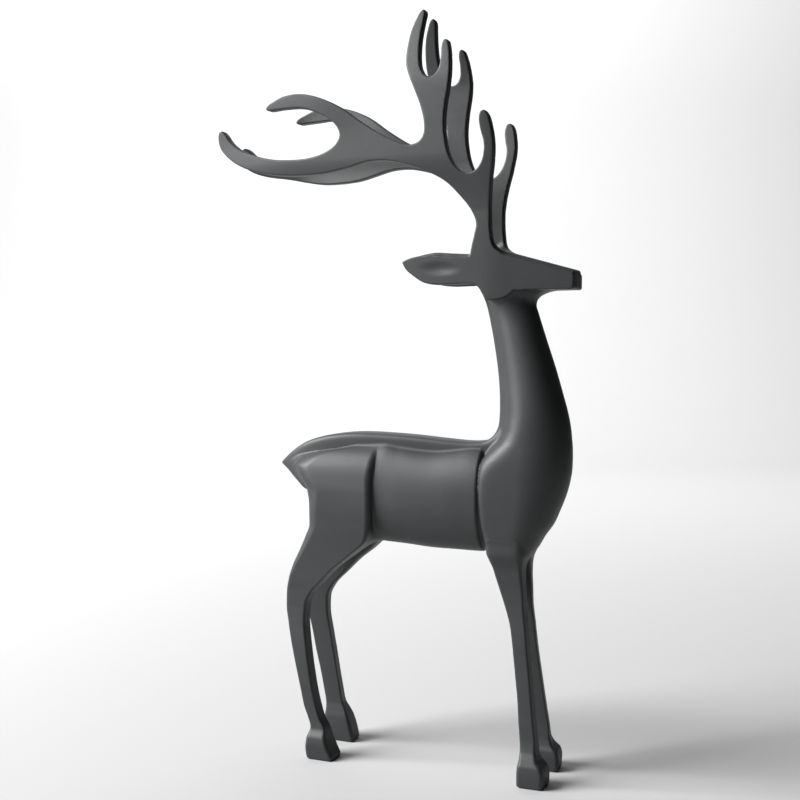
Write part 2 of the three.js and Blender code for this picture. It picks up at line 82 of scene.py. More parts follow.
# How much lower each stretch of the left antler is than on the right one; raised where below zero
LEFT_SAG = {
    "rear_tip": 10.0, "rear_bend": -1.2, "upper_tine": 1.8, "beam": 1.2, "crest": -1.4, "uprights": -2.5,
}

# Fillets where two forms meet, each from one end of the meeting to the other
FORELEG_FILLET = (9.0, 0.5)     # under the chest and up the shoulder
ELBOW_FILLET = (8.0, 0.5)       # barrel to shoulder, under the belly and up the flank
GROIN_FILLET = (9.0, 0.8)       # barrel to haunch, under the belly and up the flank
TAIL_FILLET = (12.0, 1.7)       # ridge to trunk, at the tail and along the back
NAPE_FILLET = 5.0
ANTLER_FOOT_FILLET = (3.0, 9.0)     # behind the foot and ahead of it
JAW_FILLET = (2.0, 5.0)         # neck to head, behind the jaw and ahead of it
CHIN_FILLET = 11.0
HEAD_STEP_FILLET = 0.8
EAR_GAP_FILLET = 1.4
EAR_HOLLOW_FILLET = 1.6

# Heights between which each form has to be looked at
HIND_BELOW = 275
FORE_BELOW = 205
TRUNK_FROM, TRUNK_BELOW = 160, 400
HEAD_FROM, HEAD_BELOW = 360, 430
ANTLER_FROM = 390

# The coat
COAT_DARK = (0.019, 0.0213, 0.0222)
COAT_PALE = (0.024, 0.0268, 0.028)
COAT_ROUGHNESS = 0.52
ROUGHNESS_SPREAD = 0.03
MOTTLE = (0.3, 0.7)     # the stretch of the noise that the mottling takes up
GRAIN_STRENGTH = 0.5
GRAIN_DEPTH = 0.0003    # in metres, like everything Blender is given
PAPER = (0.4, 0.4, 0.4)
PAPER_ROUGHNESS = 0.95
WORLD_FILL = 0.09

# The carving grid and the finished mesh
CARVE_LOW = (-152.0, -40.0, -3.0)
CARVE_HIGH = (152.0, 40.0, 603.0)
FINE = 1.0
COARSE = 4              # fine steps in a coarse one
NEAR_SURFACE = 7.5      # coarse cells with a field within this much are sampled finely
FAR = 30.0              # value of the field where there is nothing near
SLICE_POINTS = 6000
SOLE_REACH = 0.08       # points this near the floor are put on it
LONG_EDGE = 2.4         # a triangle with a longer edge is taken as flat
LONG_TURN = 5.0         # where its corners turn away by more than this many degrees
FACE_BUDGET = 190000


def profile(knots):
    """A smooth curve through (position, value) knots that never overshoots them."""
    at = np.array([k[0] for k in knots], float)
    value = np.array([k[1] for k in knots], float)
    chord = np.diff(value) / np.diff(at)
    slope = np.concatenate([chord[:1], np.zeros(len(at) - 2), chord[-1:]])
    before, after = chord[:-1], chord[1:]
    same_way = before * after > 0
    slope[1:-1] = np.where(same_way, 2 * before * after / np.where(same_way, before + after, 1), 0)
    fine_at = np.linspace(at[0], at[-1], 1500)
    i = np.clip(np.searchsorted(at, fine_at, side="right") - 1, 0, len(at) - 2)
    span = at[i + 1] - at[i]
    t = (fine_at - at[i]) / span
    fine_value = (
        (1 + 2 * t) * (1 - t) ** 2 * value[i] + t * (1 - t) ** 2 * span * slope[i]
        + t * t * (3 - 2 * t) * value[i + 1] - t * t * (1 - t) * span * slope[i + 1]
    )
    return lambda position: np.interp(position, fine_at, fine_value)


def profiles(columns, stations):
    """One profile for each named column of a table of stations."""
    return {
        name: profile([(row[0], row[column + 1]) for row in stations])
        for column, name in enumerate(columns.split())
    }


def ramp(start, end, value):
    """From 0 at the start to 1 at the end, in a straight line."""
    return np.clip((value - start) / (end - start), 0.0, 1.0)


def smooth(start, end, value):
    """From 0 at the start to 1 at the end, level at both."""
    t = ramp(start, end, value)
    return t * t * (3 - 2 * t)


def mix(a, b, t):
    """A share t of the way from a to b."""
    return a + (b - a) * t


def onset(past, softness):
    """Zero before a point and a straight rise after it, with a soft turn between the two."""
    return (past + np.hypot(past, softness)) / 2


def join(a, b, fillet):
    """Union of two fields, with a fillet of about that radius where they meet."""
    overlap = np.maximum(fillet - np.abs(a - b), 0.0)
    return np.minimum(a, b) - overlap * overlap / (4 * fillet)


def cut(a, b, fillet):
    """Field a with field b taken out of it."""
    return -join(-a, b, fillet)


# Legs: height, rear and front edge, inner and outer face, and the rounding of the outer front,
# outer rear and inner corners.
LIMB_COLUMNS = "back front inner outer front_round back_round inner_round"
HIND_STATIONS = [
    (0, -65.8, -45.4, 16.5, 33, 3, 3, 3),
    (1.5, -67, -43.8, 15.5, 34, 3, 3, 3),
    (10, -68.1, -47.4, 15, 34.2, 3, 3, 3),
    (17, -67.4, -50.2, 15.6, 33.2, 2.5, 2.5, 2.5),
    (25, -65.1, -52.6, 17.6, 29.4, 1.2, 1.2, 1.2),
    (33, -67.6, -57.2, 18, 28.6, 1.2, 1.2, 1.2),
    (42, -71.2, -60.2, 18, 28.5, 1.2, 1.2, 1.2),
    (56, -74.4, -63.6, 18, 28.5, 1.2, 1.2, 1.2),
    (72, -78.2, -66.6, 17.6, 28.2, 1.2, 1.2, 1.2),
    (92, -83, -69.8, 16.6, 27.2, 1.2, 1.2, 1.2),
    (112, -87.2, -72, 14.8, 25.6, 1.6, 1.6, 1.8),
    (124, -89, -71.4, 13.6, 25, 1.6, 2, 2),
    (134, -88.9, -67.4, 12.8, 25, 1.6, 2.5, 2.5),
    (146, -86.8, -56.4, 12, 25.8, 1.2, 3, 3),
    (158, -83, -44.2, 10.5, 26.5, 1.2, 5, 4),
    (170, -77.4, -29, 7.5, 27.4, 1.6, 7, 3),
    (182, -72.1, -16, 3, 28.6, 2.6, 9, 3),
    (192, -68.5, -12.8, -1, 29.6, 4, 10, 4),
    (206, -68.8, -11.4, -1, 30.2, 5, 11, 4),
    (220, -73, -11.2, -1, 29.6, 5.5, 16, 4),
    (231, -82, -10.6, -1, 28, 7, 19, 4),
    (239, -86, -9.8, -1, 26.2, 7, 20, 4),
    (245, -80, -9.2, -1, 23.6, 7, 19, 4),
    (250, -66, -8.6, -1, 20.4, 7, 13, 4),
    (254, -46, -8.2, -1, 16.4, 6, 10, 4),
    (257.5, -33, -8, -1, 12, 4, 6, 3),
    (260.5, -27, -9, -1, 8, 2, 3, 2),
]
# The left hind leg is a little broader and stands further back, with a taller hoof.
LEFT_HIND_SHANK = [
    (0, -70.4, -49.4, 16.5, 32.6, 3, 3, 3),
    (1.5, -71.6, -48, 15.5, 33.6, 3, 3, 3),
    (10, -73, -49.6, 15, 33.8, 3, 3, 3),
    (20, -74, -52.8, 15.6, 33, 2.5, 2.5, 2.5),
    (27, -73, -56, 17, 30.4, 1.2, 1.2, 1.2),
    (33, -73.4, -58.8, 18, 28.8, 1.2, 1.2, 1.2),
    (44, -75.4, -61, 18, 28.5, 1.2, 1.2, 1.2),
    (60, -78.6, -63.9, 17.9, 28.4, 1.2, 1.2, 1.2),
    (76, -82.2, -66.4, 17.4, 28, 1.2, 1.2, 1.2),
    (92, -85, -68.9, 16.6, 27.2, 1.2, 1.2, 1.2),
    (112, -88.6, -71.2, 14.8, 25.6, 1.6, 1.6, 1.8),
    (124, -89.4, -70.4, 13.6, 25, 1.6, 2, 2),
    (134, -89.2, -65.6, 12.8, 25, 1.6, 2.5, 2.5),
    (146, -86.8, -54, 12, 25.8, 1.7, 3, 3),
    (158, -83, -41.6, 10.5, 26.5, 2, 5, 4),
    (170, -77.4, -26.6, 7.5, 27.4, 3, 7, 3),
]
FORE_STATIONS = [
    (0, 111.6, 130, 12, 30.3, 3, 3, 3),
    (1.5, 110.4, 131.2, 11, 31.3, 3, 3, 3),
    (10, 110.5, 131.6, 10.8, 31.8, 3, 3, 3),
    (15.5, 110.8, 130.4, 11.4, 31.4, 3, 3, 3),
    (20.5, 111.6, 126, 13.2, 29, 2.2, 2.4, 2.2),
    (26.5, 111.6, 123.9, 14.2, 25.4, 1.8, 1.8, 1.8),
    (35, 111, 123.1, 14.2, 23.4, 1.2, 1.2, 1.2),
    (48, 109.6, 121.3, 13.2, 22.2, 1.2, 1.2, 1.2),
    (65, 108.1, 119.2, 11.4, 20.3, 1.2, 1.2, 1.2),
    (81, 105.9, 117.3, 9.5, 18.5, 1.2, 1.2, 1.2),
    (100, 103.5, 114.9, 7.9, 17, 1.2, 1.2, 1.2),
    (119, 100.9, 113, 6.8, 16, 1.2, 1.2, 1.2),
    (135, 96.6, 111.2, 6.2, 15.5, 1.2, 1.2, 1.2),
    (147, 92.5, 110.8, 5.8, 16, 1.6, 2, 2),
    (160, 88.6, 110, 5.2, 17.5, 2, 2, 2.2),
    (170, 86, 110, 3.5, 19.4, 3, 2, 2.5),
    (176, 84.6, 110.6, -1, 21, 4, 2, 2.5),
    (188, 82, 113, -1, 24, 6, 3, 3),
]
right_hind = profiles(LIMB_COLUMNS, HIND_STATIONS)
left_hind = profiles(LIMB_COLUMNS, LEFT_HIND_SHANK + [row for row in HIND_STATIONS if row[0] > SHANK_TOP])
foreleg = profiles(LIMB_COLUMNS, FORE_STATIONS)

# Shoulder, chest and neck: height, rear and front edge, where the section is broadest, half its
# breadth, and how square it is behind and in front.
neck = profiles("rear front broadest half rear_power front_power", [
    (173, 85, 112.5, 99, 20, 7, 3),
    (178, 82.8, 116.4, 100, 21.6, 7, 2.6),
    (190, 80, 123.7, 102, 24.5, 8, 2.3),
    (200, 78.6, 130.8, 104, 25.9, 13, 2.2),
    (212, 77.5, 136.2, 106, 27.1, 14, 2.1),
    (224, 76.8, 140.8, 107, 27.6, 13, 2.1),
    (234, 76.5, 143.4, 107.6, 27.6, 10, 2.1),
    (242, 76.4, 144.7, 108.4, 27.5, 6.6, 2.1),
    (248, 77, 145, 109, 27.3, 4.6, 2.1),
    (253, 79.4, 145.1, 109.6, 27, 3.5, 2.1),
    (259, 84.2, 145, 110.4, 26.5, 2.8, 2.1),
    (265, 89.4, 144.5, 111.3, 26, 2.4, 2.1),
    (274, 92.6, 143.6, 112.2, 25.2, 2.2, 2.1),
    (285, 93, 141.5, 113, 24, 2.1, 2.1),
    (302, 92, 136.8, 112, 22, 2.1, 2.1),
    (321, 89.8, 131.2, 109, 19.9, 2.1, 2.1),
    (346, 85.6, 122.8, 103, 17.6, 2.1, 2.2),
    (362, 82, 117.9, 98, 16.4, 2.1, 2.1),
    (369, 80.2, 116, 96, 16.8, 2.1, 1.9),
    (374, 78.6, 117, 94, 17.8, 2.1, 1.8),
    (378, 76, 120.5, 93, 18.4, 2.1, 1.8),
    (383, 73, 130, 93, 18.4, 2.1, 1.8),
])

# Barrel: distance along the body, underside, the height where it is broadest, top and half breadth.
barrel = profiles("under broadest top half", [
    (-64, 199, 222, 251, 17),
    (-40, 186, 218, 257.9, 23.5),
    (-22, 179.3, 216, 261.4, 24.4),
    (-6, 178.2, 215.5, 262.4, 25),
    (8, 177.6, 215, 259.6, 26),
    (37, 175.7, 214, 256.6, 27.2),
    (55, 175.6, 213.5, 258.1, 27.6),
    (69, 175.4, 213.5, 259.4, 27.6),
    (75, 175.6, 213.5, 259.2, 27.5),
    (76.4, 176.2, 213.5, 258.4, 26.9),
    (77.6, 177.5, 213.5, 256.8, 25.6),
    (88, 182, 213.5, 249, 21),
])
BELLY_POWER = 2.1
FLANK_POWER = 2.3

# Ridge of the tail, back and nape: its crest and its root inside the body, seen from the side,
# and half its breadth along the back and up the nape.
CREST = [(-105, 239.2), (-99, 244.6), (-90, 251.4), (-78, 258.2), (-62, 263.2), (-45, 266), (-27, 267.1),
         (12, 266), (45, 263.5), (62, 262.5), (71, 262.8), (78.8, 264.2), (84, 268.2), (86.8, 274.6),
         (87.8, 283), (87.7, 302), (86, 321), (81.8, 346), (75.9, 371), (69.6, 384)]
ROOT = [(82, 391), (92, 375), (100, 350), (106, 321), (109, 302), (109, 280), (104, 262), (94, 247),
        (66, 239), (45, 240), (12, 243), (-27, 243), (-46, 239), (-62, 229), (-78, 218), (-89, 225.4),
        (-97, 232.6), (-104.2, 238.2)]
back_half = profile([(-105, 0.8), (-99, 3.4), (-90, 6.6), (-78, 9.6), (-62, 11.8), (-45, 12.6), (-27, 12.8),
                     (12, 12.2), (45, 11.6), (71, 11), (100, 10.6)])
nape_half = profile([(262, 11), (275, 10.6), (283, 10), (302, 9.4), (321, 8.8), (346, 8), (371, 7), (384, 6)])
RIDGE_DEPTH = 10.0
BACK_POWER = 5.5
NAPE_POWER = 2.5

# Head and ears seen from the side, with the ears straight back in line with the muzzle.
EAR_TOP = [(12.9, 403.4), (19, 405.8), (28, 407.8), (40, 409.1), (54, 408.2), (68, 407.4)]
BROW = [(86, 412.3), (94, 409.8)]
JAW = [(103.5, 380.4), (99.5, 376.8), (96, 374.6), (92, 373.7), (82, 373.2), (79.6, 377.6),
       (76.4, 382), (72, 385.2)]
EAR_UNDER = [(58, 385.3), (43.6, 385.1), (32, 386.6), (23.9, 391.1), (15.8, 397.9)]
EAR_HOLLOW = {"centre": (44.5, 23.4, 397.5), "radii": (13, 2.6, 4.4), "tilt": 0.06}

# Antler plate seen from the side: front of the foot, brow tine, upright tines, swept beam with its
# upper tine, and back along the underside to the foot.
ANTLER = [
    (89.2, 398), (86.6, 414), (84.9, 432), (85.3, 449), (87.2, 464), (89.6, 477), (90.7, 490),
    (89.6, 502), (87.6, 510.6), (85, 514.2), (82, 513.6), (80.3, 508.6), (81, 500.6), (83, 492.4),
    (82.9, 485), (80.6, 477.4), (75.6, 471.4), (69.3, 469.4), (63.5, 471.2), (58.6, 476.3), (54.2, 485),
    (51.7, 496), (50.7, 508), (51.8, 522), (53.9, 534), (55, 546), (54.2, 557), (52.6, 566.4),
    (50.4, 572.4), (47.8, 572.8), (46.2, 568), (46.6, 559), (45.7, 550.4), (42.8, 545.6), (38.6, 543.8),
    (34.6, 545.6), (30.6, 552), (28.5, 564), (28.1, 578), (28.9, 590), (29.2, 597.4), (27.8, 599.6),
    (25.2, 598), (22.4, 592), (19.4, 582), (17.9, 568), (18.4, 555), (22, 545), (27.2, 533), (31.8, 521),
    (34.4, 509), (33.9, 500.6), (30.6, 495.6), (25.2, 493.2), (19, 493.5), (11, 496.5), (-2.5, 503.2),
    (-18.5, 513.3), (-35, 525), (-54, 534.2), (-70, 538.1), (-85, 537.4), (-95, 533.6), (-100.4, 530.6),
    (-101.6, 528), (-99, 526.6), (-92, 526.9), (-84, 527.2), (-70, 526.8), (-60, 524), (-47.5, 518),
    (-39.4, 510.8), (-37, 503.8), (-40.4, 497.2), (-50.4, 490.9), (-66, 487.2), (-86, 487), (-101, 488.8),
    (-115, 492.6), (-127, 497.4), (-136, 504.2), (-141.2, 511), (-144.4, 513.9), (-147, 513),
    (-148.2, 508), (-146.2, 499.6), (-137, 490), (-122, 481.8), (-100.4, 476.2), (-76, 474), (-51, 474.6),
    (-29, 478.2), (-14, 481.6), (0, 482.1), (11.4, 480.2), (24.6, 476.4), (36.8, 471.6), (50.4, 464),
    (61.4, 452.9), (69.9, 441.8), (73.9, 431.8), (72.6, 424), (70.2, 414), (69, 406), (69.4, 400),
]


def curve_through(points, closed=False, divisions=8):
    """Points along a centripetal Catmull-Rom curve through the given ones."""
    p = np.array(points, float)
    if closed:
        p = np.vstack([p[-1:], p, p[:2]])
    else:
        p = np.vstack([2 * p[0] - p[1], p, 2 * p[-1] - p[-2]])
    out = []
    for p0, p1, p2, p3 in zip(p[:-3], p[1:-2], p[2:-1], p[3:]):
        t0 = 0.0
        t1 = t0 + np.linalg.norm(p1 - p0) ** 0.5
        t2 = t1 + np.linalg.norm(p2 - p1) ** 0.5
        t3 = t2 + np.linalg.norm(p3 - p2) ** 0.5
        t = np.linspace(t1, t2, divisions, endpoint=False)[:, None]
        a1 = mix(p0, p1, (t - t0) / (t1 - t0))
        a2 = mix(p1, p2, (t - t1) / (t2 - t1))
        a3 = mix(p2, p3, (t - t2) / (t3 - t2))
        b1 = mix(a1, a2, (t - t0) / (t2 - t0))
        b2 = mix(a2, a3, (t - t1) / (t3 - t1))
        out.append(mix(b1, b2, (t - t1) / (t2 - t1)))
    if not closed:
        out.append(p[-2:-1])
    return np.vstack(out)


class SideView:
    """Signed distance to a closed outline in the side view, sampled once and read between samples."""

    def __init__(self, outline, margin=14.0, step=0.5):
        self.step = step
        self.low = outline.min(0) - margin
        count = np.ceil((outline.max(0) + margin - self.low) / step).astype(int) + 1
        gx, gz = np.meshgrid(*(self.low[a] + step * np.arange(count[a]) for a in (0, 1)), indexing="ij")
        nearest = np.full(gx.shape, 1e9)
        inside = np.zeros(gx.shape, bool)
        for (ax, az), (bx, bz) in zip(outline, np.roll(outline, -1, axis=0)):
            ex, ez = bx - ax, bz - az
            along = np.clip(((gx - ax) * ex + (gz - az) * ez) / (ex * ex + ez * ez + 1e-12), 0, 1)
            nearest = np.minimum(nearest, (gx - ax - along * ex) ** 2 + (gz - az - along * ez) ** 2)
            if az != bz:
                crosses = ((az > gz) != (bz > gz)) & (gx < ax + (gz - az) * ex / ez)
                inside ^= crosses
        self.distance = np.where(inside, -1.0, 1.0) * np.sqrt(nearest)

    def __call__(self, x, z):
        u = (x - self.low[0]) / self.step
        v = (z - self.low[1]) / self.step
        last = np.array(self.distance.shape) - 1.001
        cu, cv = np.clip(u, 0, last[0]), np.clip(v, 0, last[1])
        outside = np.hypot(u - cu, v - cv) * self.step
        i, j = cu.astype(int), cv.astype(int)
        fu, fv = cu - i, cv - j
        d = self.distance
        low = mix(d[i, j], d[i + 1, j], fu)
        high = mix(d[i, j + 1], d[i + 1, j + 1], fu)
        return mix(low, high, fv) + outside


def rounded_corner(corner, back, on, reach, steps=6):
    """Points of a small arc in place of a corner that one side comes from and the other leaves by."""
    start = np.array(corner) + reach * np.array(back)
    end = np.array(corner) + reach * np.array(on)
    t = np.linspace(0, 1, steps)[:, None]
    return (1 - t) ** 2 * start + 2 * t * (1 - t) * np.array(corner) + t * t * end


antler_side = SideView(curve_through(ANTLER, closed=True))
head_side = SideView(np.vstack([
    curve_through(EAR_TOP), BROW, rounded_corner((NOSE_X, NOSE_TOP), (-0.965, 0.263), (0, -1), NOSE_CORNER),
    rounded_corner((NOSE_X, CHIN), (0, 1), (-1, -0.005), NOSE_CORNER),
    curve_through(JAW + EAR_UNDER + EAR_TOP[:1])[:-1],
]), step=0.3)
ridge_side = SideView(np.vstack([curve_through(CREST), curve_through(ROOT)]))


def box_field(across, deep, radius):
    """A rounded corner between two faces whose own distances are given."""
    a, b = across + radius, deep + radius
    return np.hypot(np.maximum(a, 0), np.maximum(b, 0)) + np.minimum(np.maximum(a, b), 0) - radius


def oval_field(u, v, power):
    """Distance-like field of a superellipse; u and v are (offset, reach) pairs."""
    a, b = np.abs(u[0]) / u[1], np.abs(v[0]) / v[1]
    a, b = np.clip(a, 1e-4, 8), np.clip(b, 1e-4, 8)
    total = a ** power + b ** power
    size = total ** (1 / power)
    steep = total ** (1 / power - 1) * np.hypot(a ** (power - 1) / u[1], b ** (power - 1) / v[1])
    return np.clip((size - 1) / np.maximum(steep, 0.01), -18, 40)


def limb_field(x, y, z, limb, top):
    """One leg, from the floor to a height inside the trunk."""
    side = {name: curve(z) for name, curve in limb.items()}
    lean = FRONT_SLANT / (side["outer"] - side["inner"])
    front = (x - side["front"] - lean * (side["outer"] - y)) / np.hypot(1, lean)
    lengthwise = np.maximum(side["back"] - x, front)
    across = np.maximum(side["inner"] - y, y - side["outer"])
    outer_round = mix(side["back_round"], side["front_round"], smooth(-3, 3, front - side["back"] + x))
    radius = np.where(y > (side["inner"] + side["outer"]) / 2, outer_round, side["inner_round"])
    return np.maximum(box_field(lengthwise, across, radius), np.maximum(z - top, -z))


def neck_field(x, y, z):
    """Shoulder, chest and neck in one."""
    broadest = neck["broadest"](z)
    ahead = x > broadest
    reach = np.where(ahead, neck["front"](z) - broadest, broadest - neck["rear"](z))
    power = np.where(ahead, neck["front_power"](z), neck["rear_power"](z))
    d = oval_field((x - broadest, reach), (y, neck["half"](z)), power)
    return np.maximum(cut(d, z - CHEST_UNDER, CHEST_ROUND), z - NECK_TOP)


def barrel_field(x, y, z):
    """Rib cage and belly, between the haunches and the shoulder."""
    middle = barrel["broadest"](x)
    above = z > middle
    reach = np.where(above, barrel["top"](x) - middle, middle - barrel["under"](x))
    d = oval_field((z - middle, reach), (y, barrel["half"](x)), np.where(above, FLANK_POWER, BELLY_POWER))
    return np.maximum(d, np.maximum(BARREL_REAR - x, x - BARREL_FRONT))


def ridge_field(x, y, z):
    """The ridge that runs from the tip of the tail along the back and up the nape."""
    up_nape = smooth(262, 276, z) * smooth(60, 74, x)
    half = mix(back_half(x), nape_half(z), up_nape)
    depth = np.maximum(1 + ridge_side(x, z) / RIDGE_DEPTH, 0) * RIDGE_DEPTH
    return oval_field((depth, RIDGE_DEPTH), (y, half), mix(BACK_POWER, NAPE_POWER, up_nape))


def head_breadth(x):
    """Half the breadth of the head: the same along the ears, then narrowing to the nose."""
    return EAR_FACE - (EAR_FACE - NOSE_FACE) / (NOSE_X - BROW_X) * onset(x - BROW_X, 8)


def head_field(x, y, z):
    """Head and ears: a slab with a step along its top, an open gap between the ears and hollows in them."""
    ahead = smooth(64, 78, x)
    upper = mix(smooth(390, 403, z), smooth(384, 392, z), ahead)
    rise = upper * mix(EAR_RISE * smooth(14, 40, x), BROW_RISE, ahead)
    drop = upper * mix(EAR_STEP * smooth(22, 50, x), BROW_STEP, ahead)
    core = box_field(head_side(x, z - rise), y - head_breadth(x) + HEAD_RIM, HEAD_EDGE)
    sides = box_field(head_side(x, z + drop), y - head_breadth(x), HEAD_EDGE)
    head = join(sides, core, HEAD_STEP_FILLET)
    flare = EAR_TIP_FLARE * (1 - ramp(5, 24, x)) ** 2 - EAR_SWELL * np.sin(np.pi * ramp(5, 62, x))
    gap = box_field(x - EAR_GAP_END, y - EAR_GAP - flare, EAR_GAP_ROUND)
    head = cut(head, gap, EAR_GAP_FILLET)
    cx, cy, cz = EAR_HOLLOW["centre"]
    rx, ry, rz = EAR_HOLLOW["radii"]
    c, s = math.cos(EAR_HOLLOW["tilt"]), math.sin(EAR_HOLLOW["tilt"])
    u, w = (x - cx) * c - (z - cz) * s, (x - cx) * s + (z - cz) * c
    size = np.sqrt((u / rx) ** 2 + ((y - cy) / ry) ** 2 + (w / rz) ** 2)
    return cut(head, (size - 1) * min(ry, rz), EAR_HOLLOW_FILLET)


def antler_face(x, z, left):
    """How far the outer face of an antler stands from the middle plane."""
    lean = ANTLER_SPREAD * smooth(438, 486, z)
    brow = BROW_TINE_SPREAD * onset(z - 478, 6) / 38 * smooth(66, 80, x)
    top = np.where(left, TOP_CURL["left"], TOP_CURL["right"]) * (onset(z - 543, 6) / 57) ** 1.15
    back = BEAM_SPREAD * smooth(495, 535, z) * smooth(0, -60, x)
    tip = np.where(left, TIP_CURL["left"], TIP_CURL["right"]) * onset(-95 - x, 10) / 53
    return head_breadth(x) + lean + brow - top + back - tip


def left_sag(x, z):
    """How much lower the left antler is than the right one, faded in and out along the antler."""
    sag = LEFT_SAG["rear_tip"] * onset(-114 - x, 8) / 34
    sag = sag + LEFT_SAG["rear_bend"] * smooth(-84, -106, x) * smooth(510, 500, z)
    sag = sag + LEFT_SAG["upper_tine"] * smooth(-55, -92, x) * smooth(504, 520, z)
    sag = sag + LEFT_SAG["beam"] * smooth(-22, -45, x) * smooth(-92, -72, x) * smooth(500, 490, z)
    sag = sag + LEFT_SAG["crest"] * smooth(-62, -36, x) * smooth(18, 5, x) * smooth(488, 500, z)
    uprights = LEFT_SAG["uprights"] * smooth(5, 20, x) * smooth(60, 50, x)
    return sag + uprights * smooth(515, 545, z) * (1 - 2 * ramp(545, 600, z))


def antler_field(x, y, z, left):
    """One antler: a plate of even thickness that follows its bent outer face."""
    z = z + np.where(left, left_sag(x, z), 0.0)
    middle = antler_face(x, z, left) - ANTLER_PLATE / 2
    step = 1.0
    bend_x = antler_face(x + step, z, left) - antler_face(x - step, z, left)
    bend_z = antler_face(x, z + step, left) - antler_face(x, z - step, left)
    tilt = np.sqrt(1 + (bend_x / (2 * step)) ** 2 + (bend_z / (2 * step)) ** 2)
    across = (np.abs(y - middle) - ANTLER_PLATE / 2) / tilt
    lead = np.where(left, LEFT_BROW_LEAD, 0.0) * smooth(70, 80, x) * smooth(478, 500, z)
    return box_field(antler_side(x - lead, z), across, ANTLER_EDGE)


def stag_field(x, y, z):
    """Below zero inside the casting and above it outside, in millimetres near the surface."""
    left = y > 0
    y = np.abs(y)
    low, high = z.min(), z.max()
    body = np.full(x.shape, FAR)
    hind = fore = body
    if low < HIND_BELOW:
        hind = np.where(
            left, limb_field(x, y, z, left_hind, HAUNCH_TOP), limb_field(x, y, z, right_hind, HAUNCH_TOP)
        )
    if low < FORE_BELOW:
        fore = limb_field(x, y, z, foreleg, ELBOW_TOP)
    if high > TRUNK_FROM and low < TRUNK_BELOW:
        front = join(neck_field(x, y, z), fore, mix(*FORELEG_FILLET, smooth(174, 186, z)))
        trunk = join(front, barrel_field(x, y, z), mix(*ELBOW_FILLET, smooth(179, 190, z)))
        trunk = join(trunk, hind, mix(*GROIN_FILLET, smooth(180, 195, z)))
        along_back = mix(mix(*TAIL_FILLET, smooth(-92, -52, x)), NAPE_FILLET, smooth(74, 86, x))
        body = join(trunk, ridge_field(x, y, z), along_back)
    elif low < HIND_BELOW:
        body = np.minimum(hind, fore)
    if high > HEAD_FROM:
        head = np.full(x.shape, FAR)
        if low < HEAD_BELOW:
            head = head_field(x, y, z)
        if high > ANTLER_FROM:
            head = join(antler_field(x, y, z, left), head, mix(*ANTLER_FOOT_FILLET, smooth(72, 84, x)))
        jaw = mix(*JAW_FILLET, smooth(98, 108, x))
        body = join(body, head, mix(jaw, CHIN_FILLET, smooth(100, 114, x) * smooth(14, 8, y)))
        flush = smooth(366, 372, z) * smooth(446, 438, z)
        body = mix(body, np.maximum(body, y - head_breadth(x)), flush)
    return body


def sample_field(low, count):
    """Field on the fine grid: everywhere on coarse points, and on fine ones only near the surface."""
    coarse_count = [int(math.ceil(c / COARSE)) + 1 for c in count]
    step = FINE * COARSE
    axes = [low[a] + step * (np.arange(coarse_count[a]) + 0.5 - 0.5 / COARSE) for a in range(3)]
    coarse = np.empty(coarse_count)
    gx, gy = np.meshgrid(axes[0], axes[1], indexing="ij")
    for k, z in enumerate(axes[2]):
        coarse[:, :, k] = stag_field(gx.ravel(), gy.ravel(), np.full(gx.size, z)).reshape(gx.shape)
    near = np.abs(coarse) < NEAR_SURFACE
    field = np.empty([c * COARSE for c in coarse_count], np.float32)
    field[:] = np.repeat(np.repeat(np.repeat(coarse.astype(np.float32), COARSE, 0), COARSE, 1), COARSE, 2)
    inner = np.stack(np.meshgrid(*[np.arange(COARSE)] * 3, indexing="ij"), -1).reshape(-1, 3)
    for k in range(coarse_count[2]):
        cells = np.argwhere(near[:, :, k])
        if len(cells) == 0:
            continue
        index = np.column_stack([cells, np.full(len(cells), k)])[:, None, :] * COARSE + inner[None]
        index = index.reshape(-1, 3)
        at = np.array(low) + FINE * index
        field[index[:, 0], index[:, 1], index[:, 2]] = stag_field(at[:, 0], at[:, 1], at[:, 2])
    return field[:count[0], :count[1], :count[2]]


def net_surface(field, low):
    """One vertex in each cell that the surface crosses, and one quad for each grid edge it crosses."""
    solid = field < 0
    corners = [(i, j, k) for i in (0, 1) for j in (0, 1) for k in (0, 1)]
    size = [s - 1 for s in field.shape]

    def corner(array, offset):
        return array[tuple(slice(o, o + s) for o, s in zip(offset, size))]

    filled = sum(corner(solid, c).astype(np.int8) for c in corners)
    cells = np.argwhere((filled > 0) & (filled < 8))
    number = np.full(size, -1, np.int64)
    number[tuple(cells.T)] = np.arange(len(cells))
    total = np.zeros((len(cells), 3))
    count = np.zeros(len(cells))
    for a in range(8):
        for axis in range(3):
            start = corners[a]
            if start[axis]:
                continue
            end = tuple(o + (i == axis) for i, o in enumerate(start))
            fa = field[tuple((cells + start).T)]
            fb = field[tuple((cells + end).T)]
            hit = (fa < 0) != (fb < 0)
            share = np.where(hit, fa / np.where(hit, fa - fb, 1), 0)
            point = np.array(start, float)[None] + share[:, None] * np.eye(3)[axis]
            total += np.where(hit[:, None], point, 0)
            count += hit
    points = np.array(low) + FINE * (cells + total / count[:, None])
    quads = []
    for axis in range(3):
        u, v = (axis + 1) % 3, (axis + 2) % 3
        first = solid[tuple(slice(0, s) if a == axis else slice(1, s) for a, s in enumerate(size))]
        second = solid[tuple(slice(1, s + 1) if a == axis else slice(1, s) for a, s in enumerate(size))]
        at = np.argwhere(first != second)
        at = at + np.array([0 if a == axis else 1 for a in range(3)])
        outward = solid[tuple(at.T)]
        du, dv = np.eye(3, dtype=int)[u], np.eye(3, dtype=int)[v]
        ring = [number[tuple((at - shift).T)] for shift in (0 * du, du, du + dv, dv)]
        quad = np.column_stack(ring)
        quads.append(np.where(outward[:, None], quad, quad[:, ::-1]))
    return points, np.vstack(quads)


